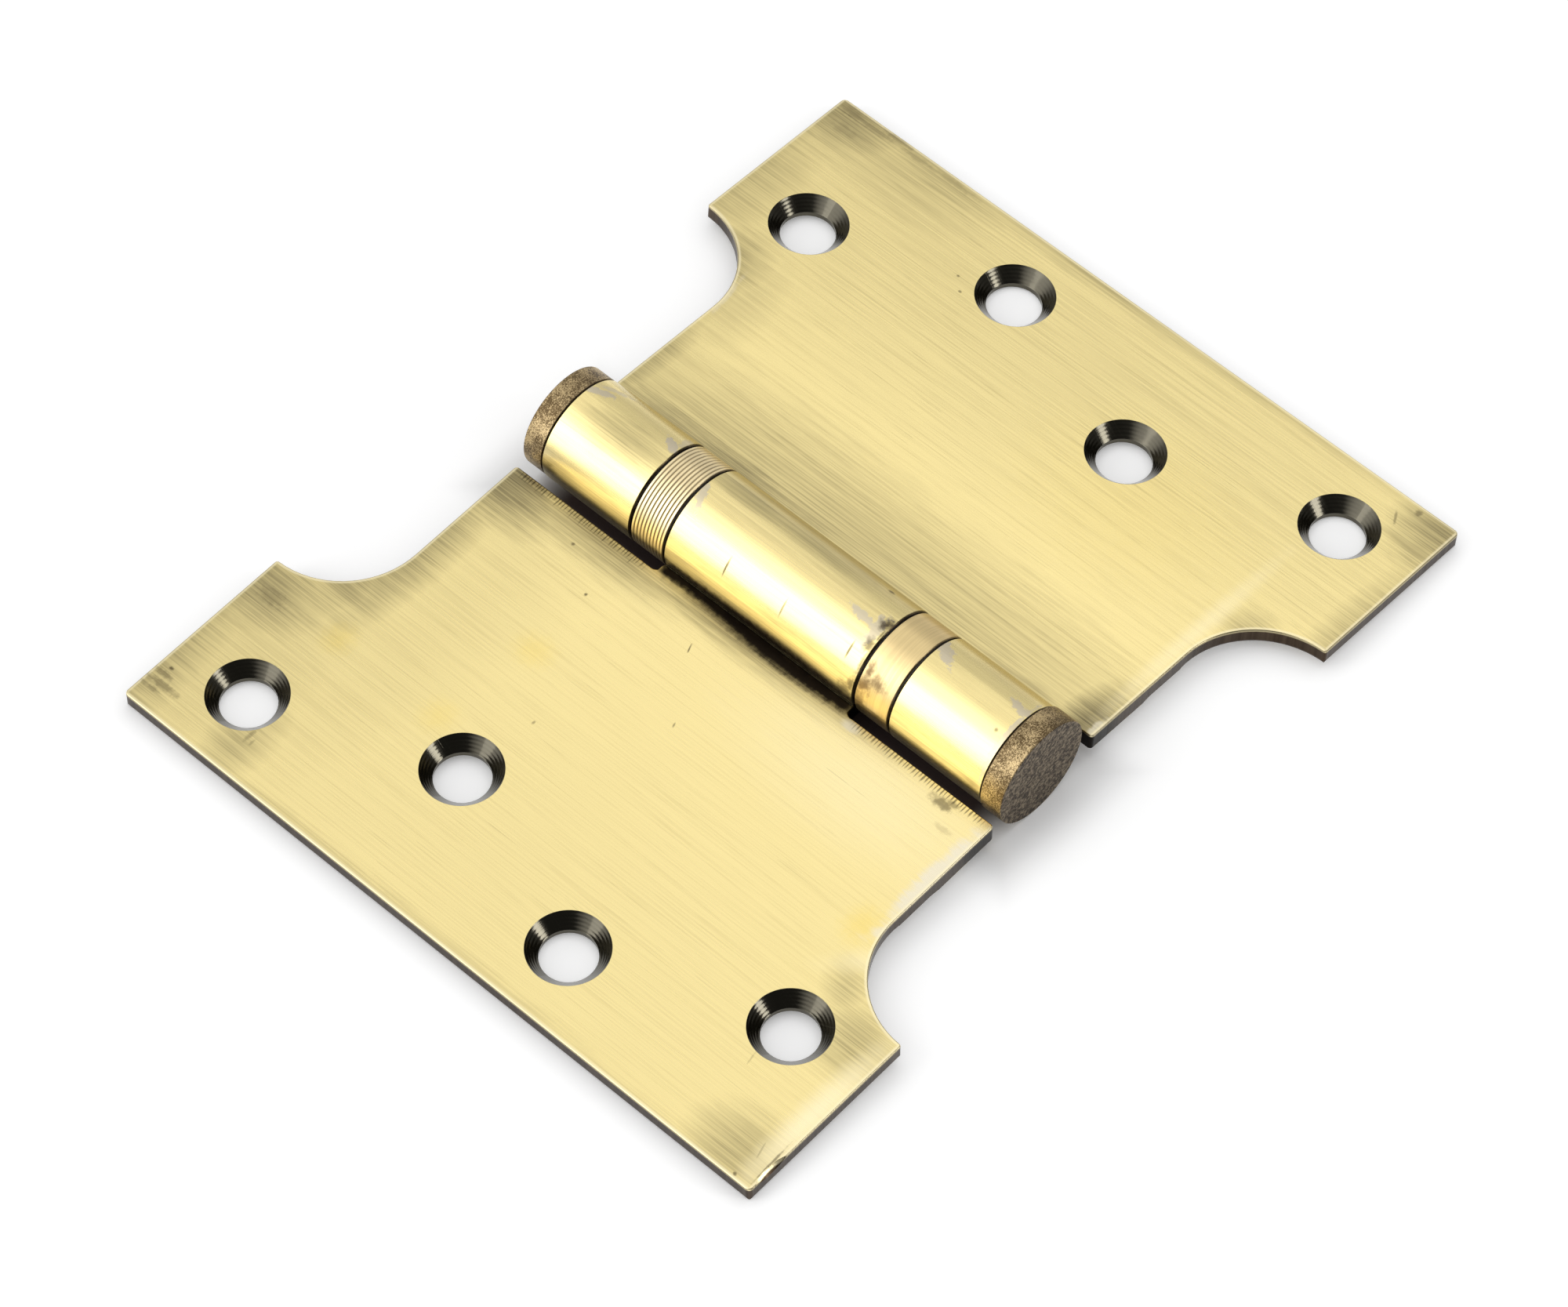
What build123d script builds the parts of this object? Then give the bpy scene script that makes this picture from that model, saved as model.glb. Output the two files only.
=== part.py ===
from build123d import *
import math
import os

# Ball bearing parliament hinge, lying open on its back with the countersunk faces up.
# Millimetres, +Z up. +Y runs along the barrel towards its far end. The right leaf points to +X.
# The origin is on the floor, straight below the barrel's axis and midway along the leaves.

# Leaves. Both are one blank, and the gaps are from the barrel's axis to each blank's inner edge.
sheet_t = 2.5
leaf_h = 102.0
blank_w = 56.0
right_gap = 9.58
left_gap = 8.42
wing_w = 26.2
notch_depth = 11.9
corner_r = 0.7
notch_r = 0.4
end_r = 0.5
root_r = 0.8
edge_break = 0.2
back_round = 0.65
round_run = 8.0

# Dent in the left leaf's top edge, near its outer corner at the near end
dent_in = 3.6
dent_deep = 0.45
dent_r = 10.0

# Barrel. Each end of it lies barrel_in short of the corner of the leaf's end notch.
barrel_r = 7.2
barrel_in = 3.2
leaf_drop = 2.0
bend_r = 0.6
lip_gap = 0.35
centre_len = 30.9
barrel_shift = 0.12
knuckle_break = 0.2

# Screw holes, in a zigzag of two columns set in from the leaf's outer edge
hole_d = 7.2
sink_d = 10.4
sink_angle = 82.0
inner_col_inset = 19.4
outer_col_inset = 9.8
hole_pitch = 26.5

# Pin and end caps
pin_clear = 0.05
pin_break = 0.5
pin_end_gap = 0.3
near_cap_r = 7.4
near_cap_t = 3.3
far_cap_r = 7.15
far_cap_t = 3.05
cap_round = 0.12
cap_back_break = 0.15
spigot_len = 4.0
spigot_clear = 0.02

# Ball bearings
bearing_len = 5.7
shell_wall = 0.45
shell_step = 0.05
shell_gap = 0.2
shell_break = 0.15
race_clear = 0.05
race_gap = 0.02
ball_d = 1.3
ball_count = 12
ball_clear = 0.02
track_depth = 0.12
cage_t = 0.6
cage_clear = 0.08
pocket_clear = 0.04
groove_count = 9
groove_w = 0.26
groove_depth = 0.07

# Sizes that follow from the ones above
bore_r = barrel_r - sheet_t
pin_r = bore_r - pin_clear
leaf_back = leaf_drop + sheet_t
centre_half = centre_len / 2
bearing_end = centre_half + bearing_len
neck_half = leaf_h / 2 - notch_depth
barrel_half = neck_half - barrel_in
shell_in = barrel_r - shell_step - shell_wall
race_out = shell_in - race_clear
ball_ring_r = (bore_r + race_out) / 2
bend_z = -leaf_back - bend_r
bend_x = math.sqrt((barrel_r + bend_r) ** 2 - bend_z**2)

# The hinge lies on its near cap, the larger one, and each leaf droops until its outer edge meets the floor.
axis_height = near_cap_r


def droop(gap):
    """Angle in degrees at which a leaf's rounded outer edge touches the floor."""
    out = gap + blank_w - back_round
    down = leaf_back - back_round
    reach = math.hypot(out, down)
    return math.degrees(math.asin((axis_height - back_round) / reach) - math.atan2(down, out))


def round_corners(face, x, ys, radius):
    """Rounds the corners of a face that lie at one x and any of the given y."""
    column = [v for v in face.vertices() if abs(v.X - x) < 1e-4]
    corners = [v for v in column if any(abs(v.Y - y) < 1e-4 for y in ys)]
    return fillet(corners, radius)


def leaf_outline(spans, edge_gap):
    """The flat blank of a leaf that points to +X, with a stub for each knuckle's tab."""
    half = leaf_h / 2
    cut = notch_depth
    leaf_w = edge_gap + blank_w
    notch_x = leaf_w - wing_w
    with BuildSketch() as s:
        with BuildLine():
            Line((edge_gap, -neck_half), (notch_x - cut, -neck_half))
            RadiusArc((notch_x - cut, -neck_half), (notch_x, -half), cut)
            Line((notch_x, -half), (leaf_w, -half))
            Line((leaf_w, -half), (leaf_w, half))
            Line((leaf_w, half), (notch_x, half))
            RadiusArc((notch_x, half), (notch_x - cut, neck_half), cut)
            Line((notch_x - cut, neck_half), (edge_gap, neck_half))
            Line((edge_gap, neck_half), (edge_gap, -neck_half))
        make_face()
    outline = s.sketch
    for low, high in spans:
        stub = Rectangle(edge_gap + 1 - bend_x, high - low, align=(Align.MIN, Align.MIN))
        outline = outline + Pos(bend_x, low) * stub
    ends = [y for span in spans for y in span]
    outline = round_corners(outline, leaf_w, [-half, half], corner_r)
    outline = round_corners(outline, notch_x, [-half, half], notch_r)
    outline = round_corners(outline, edge_gap, [-neck_half, neck_half], end_r)
    return round_corners(outline, edge_gap, ends, root_r)


def rolled_section(start):
    """The sheet rolled into a knuckle, seen along the barrel.

    The leaf comes in from +X. Its back bends down into the round, which runs under the pin,
    up the far side and over the top, and the cut lip ends just above the leaf's top face.
    """
    toward = math.atan2(bend_z, bend_x)
    lip = math.asin((lip_gap - leaf_drop) / barrel_r)

    def at(radius, angle):
        return (radius * math.cos(angle), radius * math.sin(angle))

    def on_bend(radius):
        angle = (math.pi / 2 + toward + math.pi) / 2
        return (bend_x + radius * math.cos(angle), bend_z + radius * math.sin(angle))

    across = (toward + lip) / 2 - math.pi
    with BuildSketch(Plane.XZ) as s:
        with BuildLine():
            Line((start, -leaf_drop), (bend_x, -leaf_drop))
            ThreePointArc((bend_x, -leaf_drop), on_bend(bend_r + sheet_t), at(bore_r, toward))
            ThreePointArc(at(bore_r, toward), at(bore_r, across), at(bore_r, lip))
            Line(at(bore_r, lip), at(barrel_r, lip))
            ThreePointArc(at(barrel_r, lip), at(barrel_r, across), at(barrel_r, toward))
            ThreePointArc(at(barrel_r, toward), on_bend(bend_r), (bend_x, -leaf_back))
            Line((bend_x, -leaf_back), (start, -leaf_back))
            Line((start, -leaf_back), (start, -leaf_drop))
        make_face()
    return s.sketch


def end_break(end, way):
    """Ring that bevels a knuckle's round edge at one end. way is +1 where the end faces +Y."""
    c = knuckle_break
    with BuildSketch() as s:
        with BuildLine():
            Polyline(
                (barrel_r - c, end + way * c),
                (barrel_r - c, end),
                (barrel_r, end - way * c),
                (barrel_r + 2 * c, end - way * c),
                (barrel_r + 2 * c, end + way * c),
                close=True,
            )
        make_face()
    return revolve(s.sketch, Axis.Y)


def knuckle(low, high, edge_gap):
    """One rolled knuckle between two places along the barrel, with its round edges broken."""
    part = Pos(0, low, 0) * extrude(rolled_section(edge_gap), amount=-(high - low))
    part = part - end_break(low, -1)
    return part - end_break(high, 1)


def screw_hole():
    """Countersunk hole as a solid to cut away. The leaf's top face is at z = 0."""
    slope = math.tan(math.radians(sink_angle / 2))
    deep = (sink_d - hole_d) / 2 / slope
    over = 1.0
    with BuildSketch(Plane.XZ) as s:
        with BuildLine():
            Polyline(
                (0, over),
                (sink_d / 2 + over * slope, over),
                (hole_d / 2, -deep),
                (hole_d / 2, -sheet_t - over),
                (0, -sheet_t - over),
                close=True,
            )
        make_face()
    return revolve(s.sketch, Axis.Z)


def hole_places(leaf_w):
    """Centres of the four holes, from the near end to the far end."""
    insets = [outer_col_inset, inner_col_inset, outer_col_inset, inner_col_inset]
    return [(leaf_w - inset, (i - 1.5) * hole_pitch) for i, inset in enumerate(insets)]


def corner_bite(r):
    """Section of what a back edge loses when it is rounded. The edge's corner is at 0, 0.

    The sheet lies at negative x and positive y, and the section reaches a little past the corner.
    """
    over = 0.3
    with BuildSketch() as s:
        with BuildLine():
            Polyline((-r, 0), (-r, -over), (over, -over), (over, r), (0, r))
            RadiusArc((0, r), (-r, 0), r)
        make_face()
    return s.sketch


def back_rounding(leaf_w):
    """Everything that rounding takes off the back edges of a leaf that points to +X."""
    half = leaf_h / 2
    over = 1.0
    notch_x = leaf_w - wing_w
    centre_x = notch_x - notch_depth
    bite = Plane((0, 0, 0), x_dir=(1, 0, 0), z_dir=(0, -1, 0)) * corner_bite(back_round)
    side = Pos(leaf_w, half + over, 0) * extrude(bite, amount=leaf_h + 2 * over)
    end_bite = Plane((0, 0, 0), x_dir=(0, 1, 0), z_dir=(1, 0, 0)) * corner_bite(back_round)
    end = Pos(notch_x - over, half, 0) * extrude(end_bite, amount=wing_w + 2 * over)
    arc_bite = Pos(notch_depth, 0, 0) * Plane.XZ * mirror(corner_bite(back_round), Plane.YZ)
    arc = Pos(centre_x, half, 0) * Rot(0, 0, -95) * revolve(arc_bite, Axis.Z, 95)
    thick = Plane((centre_x, neck_half, 0), x_dir=(0, 1, 0), z_dir=(-1, 0, 0)) * corner_bite(back_round)
    thin = Plane((centre_x - round_run, neck_half, 0), x_dir=(0, 1, 0), z_dir=(-1, 0, 0)) * corner_bite(0.02)
    run = loft([thick.face(), thin.face()])
    far = [end, arc, run]
    return [side] + far + [mirror(part, Plane.XZ) for part in far]


def leaf(spans, edge_gap):
    """A leaf that points to +X, with one rolled knuckle for each span along the barrel."""
    leaf_w = edge_gap + blank_w
    plate = extrude(Pos(0, 0, -leaf_back) * leaf_outline(spans, edge_gap), amount=sheet_t)
    top = plate.faces().sort_by(Axis.Z)[-1]
    edges = [e for e in top.edges() if e.center().X > bend_x + 1e-4]
    plate = fillet(edges, edge_break)
    for part in back_rounding(leaf_w):
        plate = plate - Pos(0, 0, -leaf_back) * part
    for low, high in spans:
        plate = plate + knuckle(low, high, edge_gap)
    for x, y in hole_places(leaf_w):
        plate = plate - Pos(x, y, -leaf_drop) * screw_hole()
    return plate


def right_leaf():
    """Leaf with the two outer knuckles."""
    far = (bearing_end + barrel_shift, barrel_half + barrel_shift)
    near = (barrel_shift - barrel_half, barrel_shift - bearing_end)
    return Rot(0, droop(right_gap), 0) * leaf([near, far], right_gap)


def edge_dent():
    """Ball that bites a shallow crescent out of the left leaf's top edge, before the leaf is turned."""
    x = left_gap + blank_w - dent_in
    out = (dent_r - dent_deep) / math.sqrt(2)
    return Pos(x, leaf_h / 2 + out, -leaf_drop + out) * Sphere(dent_r)


def left_leaf():
    """Leaf with the centre knuckle. It is the same blank, turned half round."""
    span = (-centre_half - barrel_shift, centre_half - barrel_shift)
    plate = leaf([span], left_gap) - edge_dent()
    return Rot(0, -droop(left_gap), 0) * Rot(0, 0, 180) * plate


def turned(points):
    """Solid turned about the barrel's axis. Each point is a radius and a place along it."""
    with BuildSketch() as s:
        with BuildLine():
            Polyline(*points, close=True)
        make_face()
    return revolve(s.sketch, Axis.Y)


def hinge_pin():
    """Plain pin that ends just short of the spigot of each cap."""
    half = barrel_half - spigot_len - pin_end_gap
    b = pin_break
    points = [(0, -half), (pin_r - b, -half), (pin_r, b - half)]
    points += [(pin_r, half - b), (pin_r - b, half), (0, half)]
    return turned(points)


def end_cap(cap_r, thick):
    """Flat button for the far end, with the spigot that sits in the knuckle's bore."""
    spigot_r = bore_r - spigot_clear
    low = barrel_half - spigot_len
    high = barrel_half + thick
    b = cap_back_break
    points = [(0, low), (spigot_r - b, low), (spigot_r, low + b), (spigot_r, barrel_half)]
    points += [(cap_r - b, barrel_half), (cap_r, barrel_half + b), (cap_r, high), (0, high)]
    cap = turned(points)
    rim = cap.faces().sort_by(Axis.Y)[-1].edges()
    return fillet(rim, cap_round)


def bearing_shell(grooves):
    """Turned ring round one bearing, from its inner end at y = 0, with grooves round it."""
    low = shell_gap
    high = bearing_len - shell_gap
    out = barrel_r - shell_step
    b = shell_break
    points = [(shell_in, low), (out - b, low), (out, low + b)]
    pitch = (high - low) / (grooves + 1)
    for i in range(grooves):
        mid = low + (i + 1) * pitch
        points += [(out, mid - groove_w / 2), (out - groove_depth, mid), (out, mid + groove_w / 2)]
    points += [(out, high - b), (out - b, high), (shell_in, high)]
    return turned(points)


def race(face):
    """Hardened washer that ends at the given face, with the ball track cut in its inside."""
    mid = bearing_len / 2
    way = 1 if face > mid else -1
    track_r = ball_d / 2 + ball_clear
    inside = mid + way * (track_r - track_depth)
    points = [(bore_r, inside), (race_out, inside), (race_out, face), (bore_r, face)]
    with BuildSketch(Plane(origin=(ball_ring_r, mid, 0))) as s:
        Circle(track_r)
    return turned(points) - revolve(s.sketch, Axis.Y)


def around_ring(part):
    """Copies of a part at the ball places round the barrel's axis."""
    return [Rot(0, 360 * i / ball_count, 0) * part for i in range(ball_count)]


def balls():
    """The loose balls of one bearing."""
    ball = Pos(ball_ring_r, bearing_len / 2, 0) * Sphere(ball_d / 2)
    return around_ring(ball)


def cage():
    """Pierced ring that spaces the balls."""
    low = (bearing_len - cage_t) / 2
    high = low + cage_t
    inside = bore_r + cage_clear
    out = race_out - cage_clear
    ring = turned([(inside, low), (out, low), (out, high), (inside, high)])
    drill = Rot(90, 0, 0) * Cylinder(ball_d / 2 + pocket_clear, 2 * cage_t)
    for hole in around_ring(Pos(ball_ring_r, bearing_len / 2, 0) * drill):
        ring = ring - hole
    return ring


def far_place(part):
    """Moves a bearing's piece from y = 0 to the far bearing."""
    return Pos(0, centre_half, 0) * part


def near_place(part):
    """Moves a bearing's piece to the near bearing, turned end for end."""
    return Pos(0, -centre_half, 0) * Rot(0, 0, 180) * part


def build():
    """Every piece in its place, by node name."""
    inner_face = race_gap
    outer_face = bearing_len - race_gap
    turned_parts = {
        "hinge_pin": hinge_pin(),
        "far_end_cap": end_cap(far_cap_r, far_cap_t),
        "near_end_cap": Rot(0, 0, 180) * end_cap(near_cap_r, near_cap_t),
        "far_bearing_shell": far_place(bearing_shell(groove_count)),
        "near_bearing_shell": near_place(bearing_shell(0)),
        "far_outer_race": far_place(race(outer_face)),
        "far_inner_race": far_place(race(inner_face)),
        "near_outer_race": near_place(race(outer_face)),
        "near_inner_race": near_place(race(inner_face)),
        "far_ball_cage": far_place(cage()),
        "near_ball_cage": near_place(cage()),
    }
    for i, ball in enumerate(balls(), start=1):
        turned_parts[f"far_ball_{i}"] = far_place(ball)
        turned_parts[f"near_ball_{i}"] = near_place(ball)
    parts = {"right_leaf": right_leaf(), "left_leaf": left_leaf()}
    for name, part in turned_parts.items():
        parts[name] = Pos(0, barrel_shift, 0) * part
    return {name: Pos(0, 0, axis_height) * part for name, part in parts.items()}


os.makedirs("parts", exist_ok=True)
for name, part in build().items():
    export_step(part, f"parts/{name}.step")
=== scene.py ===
# %% [markdown]
# A parliament hinge: two brass leaves with a knuckle barrel between them, lying open on its back.
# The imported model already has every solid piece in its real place. This script gives the pieces
# their finish, lights them and looks at them as the photographer did.
# Lengths are written in millimetres and turned into metres where Blender needs them.

import math

import bmesh
import bpy
from mathutils import Matrix, Vector

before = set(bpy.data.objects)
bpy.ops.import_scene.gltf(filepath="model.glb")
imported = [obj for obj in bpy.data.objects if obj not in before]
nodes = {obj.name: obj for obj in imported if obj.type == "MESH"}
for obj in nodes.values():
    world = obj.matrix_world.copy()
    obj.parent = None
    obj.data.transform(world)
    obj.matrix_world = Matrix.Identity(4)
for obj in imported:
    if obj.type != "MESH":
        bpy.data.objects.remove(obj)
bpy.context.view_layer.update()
print("pieces loaded:", len(nodes))

# %% [markdown]
# The finishes need a few sizes of the real hinge: where the barrel runs, how far each leaf
# reaches, where its end notches and screw holes are, and where the seams of the barrel lie.
# They are the sizes of the solid pieces, so that a mark lands where it does on the real leaf.

# %% Sizes of the hinge, in millimetres
MM = 0.001
AXIS_Z = 7.4
BARREL_R = 7.2
LEAF_TOP = -2.0
LEAF_HALF = 51.0
NOTCH_IN = 38.1
NOTCH_R = 11.9
SINK_R = 5.2
HOLES = [(9.8, -39.75), (19.4, -13.25), (9.8, 13.25), (19.4, 39.75)]
SEAMS = [36.02, 21.27, 15.57, -15.33, -21.03, -35.78]
WIDTH = {"right": 65.58, "left": 64.42}
DROOP = {"right": 2.5633, "left": -2.6101}
CAP_ENDS = [39.07, -39.08]
print("barrel", 2 * BARREL_R, "mm across, over both leaves", sum(WIDTH.values()), "mm")

# %% [markdown]
# The camera. The photographer stood well back with a long lens and looked down at the hinge
# from its near left corner. The place, the turn and the lens were worked out from the leaf
# corners, the hole rims and the barrel seams, with the picture 2000 pixels wide.

# %% Camera
IMAGE_W = 2000
EYE = Vector((-361.571, -302.90, 647.60)) * MM
RIGHT = Vector((0.672584, -0.739515, 0.027342))
DOWN = Vector((-0.589282, -0.557566, -0.584693))
AHEAD = Vector((0.447635, 0.377143, -0.810793))
FOCAL_PIXELS = 8378.7
SENSOR = 36.0


def make_camera():
    """The photographer's camera, looking along AHEAD with RIGHT to the right."""
    lens = bpy.data.cameras.new("photo_camera")
    lens.sensor_width = SENSOR
    lens.lens = FOCAL_PIXELS / IMAGE_W * SENSOR
    lens.clip_start = 0.05
    lens.clip_end = 20
    camera = bpy.data.objects.new("photo_camera", lens)
    bpy.context.scene.collection.objects.link(camera)
    turn = Matrix((RIGHT, -DOWN, -AHEAD)).transposed()
    camera.matrix_world = Matrix.Translation(EYE) @ turn.to_4x4()
    bpy.context.scene.camera = camera
    return camera


camera = make_camera()
print("lens", round(camera.data.lens, 1), "mm")

# %% [markdown]
# Building materials takes many nodes. These helpers add one node at a time and hand back its
# output, so that a finish reads like a sentence: an input may be a number or another output.

# %% Node helpers
def set_input(tree, socket, value):
    """Links an output to a socket, or sets the socket to a number or tuple."""
    if isinstance(value, bpy.types.NodeSocket):
        tree.links.new(value, socket)
    else:
        socket.default_value = value


def add_node(tree, kind, inputs=None, **settings):
    """Adds a shader node. An input is a number, a tuple or the output of another node."""
    made = tree.nodes.new("ShaderNode" + kind)
    for name, value in settings.items():
        setattr(made, name, value)
    for key, value in (inputs or {}).items():
        set_input(tree, made.inputs[key], value)
    return made


def math_node(tree, operation, *values, clamp=False):
    """Result of a Math node."""
    made = add_node(tree, "Math", dict(enumerate(values)), operation=operation, use_clamp=clamp)
    return made.outputs[0]


def chain(tree, operation, values):
    """One Math operation over several values in turn."""
    total = values[0]
    for value in values[1:]:
        total = math_node(tree, operation, total, value)
    return total


def plus(tree, *values):
    return chain(tree, "ADD", values)


def minus(tree, *values):
    return chain(tree, "SUBTRACT", values)


def times(tree, *values):
    return chain(tree, "MULTIPLY", values)


def largest(tree, *values):
    return chain(tree, "MAXIMUM", values)


def smallest(tree, *values):
    return chain(tree, "MINIMUM", values)


def fade(tree, value, start, stop):
    """Soft step that is 0 at start and 1 at stop, whichever is larger."""
    inputs = {"Value": value, "From Min": start, "From Max": stop}
    return add_node(tree, "MapRange", inputs, interpolation_type="SMOOTHSTEP").outputs["Result"]


def mix_colors(tree, share, first, second):
    """First colour where share is 0, second where it is 1."""
    made = add_node(tree, "Mix", data_type="RGBA")
    for key, value in (("Factor_Float", share), ("A_Color", first), ("B_Color", second)):
        set_input(tree, next(s for s in made.inputs if s.identifier == key), value)
    return next(s for s in made.outputs if s.identifier == "Result_Color")


def vector(tree, x=0.0, y=0.0, z=0.0):
    return add_node(tree, "CombineXYZ", {0: x, 1: y, 2: z}).outputs[0]


def dot_product(tree, first, second):
    inputs = {0: first, 1: second}
    return add_node(tree, "VectorMath", inputs, operation="DOT_PRODUCT").outputs["Value"]


def nearest_gap(tree, along, places):
    """Distance along the barrel from the nearest of several places."""
    gaps = [math_node(tree, "ABSOLUTE", minus(tree, along, place)) for place in places]
    return smallest(tree, *gaps)


def noise_value(tree, place, scale=1.0, detail=3.0, roughness=0.55):
    """Cloudy value from 0 to 1 that changes over a vector."""
    inputs = {"Vector": place, "Scale": scale, "Detail": detail, "Roughness": roughness}
    return add_node(tree, "TexNoise", inputs).outputs[0]


def streaks(tree, across, along, wide, long, detail=2.0):
    """Noise drawn out along the barrel. wide and long are how many waves there are in a millimetre."""
    place = vector(tree, times(tree, across, wide), times(tree, along, long))
    return noise_value(tree, place, 1.0, detail, 0.6)


def new_group(name, inputs, outputs):
    """Empty node group. Each input has a first value, which is a number or a vector."""
    tree = bpy.data.node_groups.new(name, "ShaderNodeTree")
    for socket, value in inputs.items():
        kind = "NodeSocketVector" if isinstance(value, tuple) else "NodeSocketFloat"
        made = tree.interface.new_socket(socket, in_out="INPUT", socket_type=kind)
        made.default_value = value
    for socket in outputs:
        tree.interface.new_socket(socket, in_out="OUTPUT", socket_type="NodeSocketFloat")
    start = tree.nodes.new("NodeGroupInput")
    end = tree.nodes.new("NodeGroupOutput")
    return tree, start.outputs, end.inputs


def use_group(tree, group, **inputs):
    """Places a group in a tree and hands back its outputs."""
    made = tree.nodes.new("ShaderNodeGroup")
    made.node_tree = group
    for name, value in inputs.items():
        set_input(tree, made.inputs[name.replace("_", " ")], value)
    return made.outputs


def new_material(name, metallic=1.0):
    """Material with a metal shader. Hands back the material, its tree and its shader."""
    material = bpy.data.materials.new(name)
    material.use_nodes = True
    shader = material.node_tree.nodes["Principled BSDF"]
    shader.inputs["Metallic"].default_value = metallic
    return material, material.node_tree, shader


def finish_shader(tree, shader, color, roughness, relief):
    """Wires a colour, a roughness and a relief in millimetres to a shader."""
    tree.links.new(color, shader.inputs["Base Color"])
    tree.links.new(roughness, shader.inputs["Roughness"])
    bump = add_node(tree, "Bump", {"Height": relief, "Strength": 1.0, "Distance": MM})
    tree.links.new(bump.outputs[0], shader.inputs["Normal"])


print("helpers ready")

# %% [markdown]
# A leaf droops by a few degrees from the barrel to the floor, so a pattern in plain object
# coordinates would drift off its surface. This group turns the place back into the leaf's own
# measure: Across from the barrel's axis, Along the barrel, and Height above the axis, in
# millimetres. Out is the same as Across, but counts away from the axis on both leaves.

# %% Group: place on a leaf
def make_place_group():
    outputs = ["Across", "Along", "Height", "Out"]
    tree, start, end = new_group("Place on leaf", {"Droop": 0.0}, outputs)
    where = add_node(tree, "TexCoord").outputs["Object"]
    inputs = {"Vector": where, "Rotation": vector(tree, y=start["Droop"]),
              "Location": (0, 0, AXIS_Z * MM), "Scale": (MM, MM, MM)}
    local = add_node(tree, "Mapping", inputs, vector_type="TEXTURE").outputs[0]
    split = add_node(tree, "SeparateXYZ", {0: local}).outputs
    values = [*split, math_node(tree, "ABSOLUTE", split[0])]
    for name, value in zip(outputs, values):
        tree.links.new(value, end[name])
    return tree


place_group = make_place_group()
print("group:", place_group.name)

# %% [markdown]
# Knuckles, bearing rings and caps are round, so their marks are placed by the Angle round the
# axis, in degrees from the top towards the right leaf, by the place Along the barrel and by the
# Radius. Arc is the same angle as a length on the knuckle's surface, for the brushed grain.

# %% Group: place on the barrel
def make_barrel_group():
    outputs = ["Angle", "Along", "Radius", "Arc"]
    tree, start, end = new_group("Place on barrel", {}, outputs)
    place = use_group(tree, place_group, Droop=0.0)
    x = place["Across"]
    z = place["Height"]
    turn = math_node(tree, "ARCTAN2", x, z)
    radius = math_node(tree, "SQRT", plus(tree, times(tree, x, x), times(tree, z, z)))
    values = (math_node(tree, "DEGREES", turn), place["Along"], radius, times(tree, turn, BARREL_R))
    for name, value in zip(outputs, values):
        tree.links.new(value, end[name])
    return tree


barrel_group = make_barrel_group()
print("group:", barrel_group.name)

# %% [markdown]
# Wear and tarnish follow the outline of a leaf, so a finish has to know how far it is from the
# nearest edge. The outline is simple enough to measure by sums: a rectangle with a quarter
# round cut out of each end beside the barrel.

# %% Group: distance from the leaf's outline
def make_outline_group():
    inputs = {"Out": 0.0, "Along": 0.0, "Width": 65.0}
    tree, start, end = new_group("Leaf outline", inputs, ["Inset", "Ends", "Nearest"])
    inset = minus(tree, start["Width"], start["Out"])
    ends = minus(tree, LEAF_HALF, math_node(tree, "ABSOLUTE", start["Along"]))
    past = largest(tree, minus(tree, NOTCH_IN, inset), 0.0)
    reach = math_node(tree, "SQRT", plus(tree, times(tree, past, past), times(tree, ends, ends)))
    nearest = smallest(tree, inset, ends, minus(tree, reach, NOTCH_R))
    for name, value in (("Inset", inset), ("Ends", ends), ("Nearest", nearest)):
        tree.links.new(value, end[name])
    return tree


outline_group = make_outline_group()
print("group:", outline_group.name)

# %% [markdown]
# The screw holes are dark inside, because the black finish is left in them when the leaf's
# face is brushed. The group gives the distance from the nearest hole's centre. Both leaves are
# one blank turned half round, so Along is turned over for the left leaf before it comes in.

# %% Group: distance from the nearest screw hole
def make_hole_group():
    tree, start, end = new_group("Screw holes", {"Inset": 0.0, "Along": 0.0}, ["Distance"])
    place = vector(tree, start["Inset"], start["Along"])
    gaps = []
    for inset, along in HOLES:
        inputs = {0: place, 1: (inset, along, 0)}
        gaps.append(add_node(tree, "VectorMath", inputs, operation="DISTANCE").outputs["Value"])
    tree.links.new(smallest(tree, *gaps), end["Distance"])
    return tree


hole_group = make_hole_group()
print("group:", hole_group.name, "with", len(HOLES), "holes")

# %% [markdown]
# The leaves and knuckles were brushed on a belt that ran along the barrel. It left fine parallel
# lines, some short and sharp, some long and faint, and here and there a single deeper scratch.
# Noises drawn out along the brush give them. Tone is 1 on the darker lines, Lines goes both ways
# and breaks up the tarnish, Relief is for the bump, Streak is broad and Scratch is 1 on the few
# deep lines.

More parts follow.
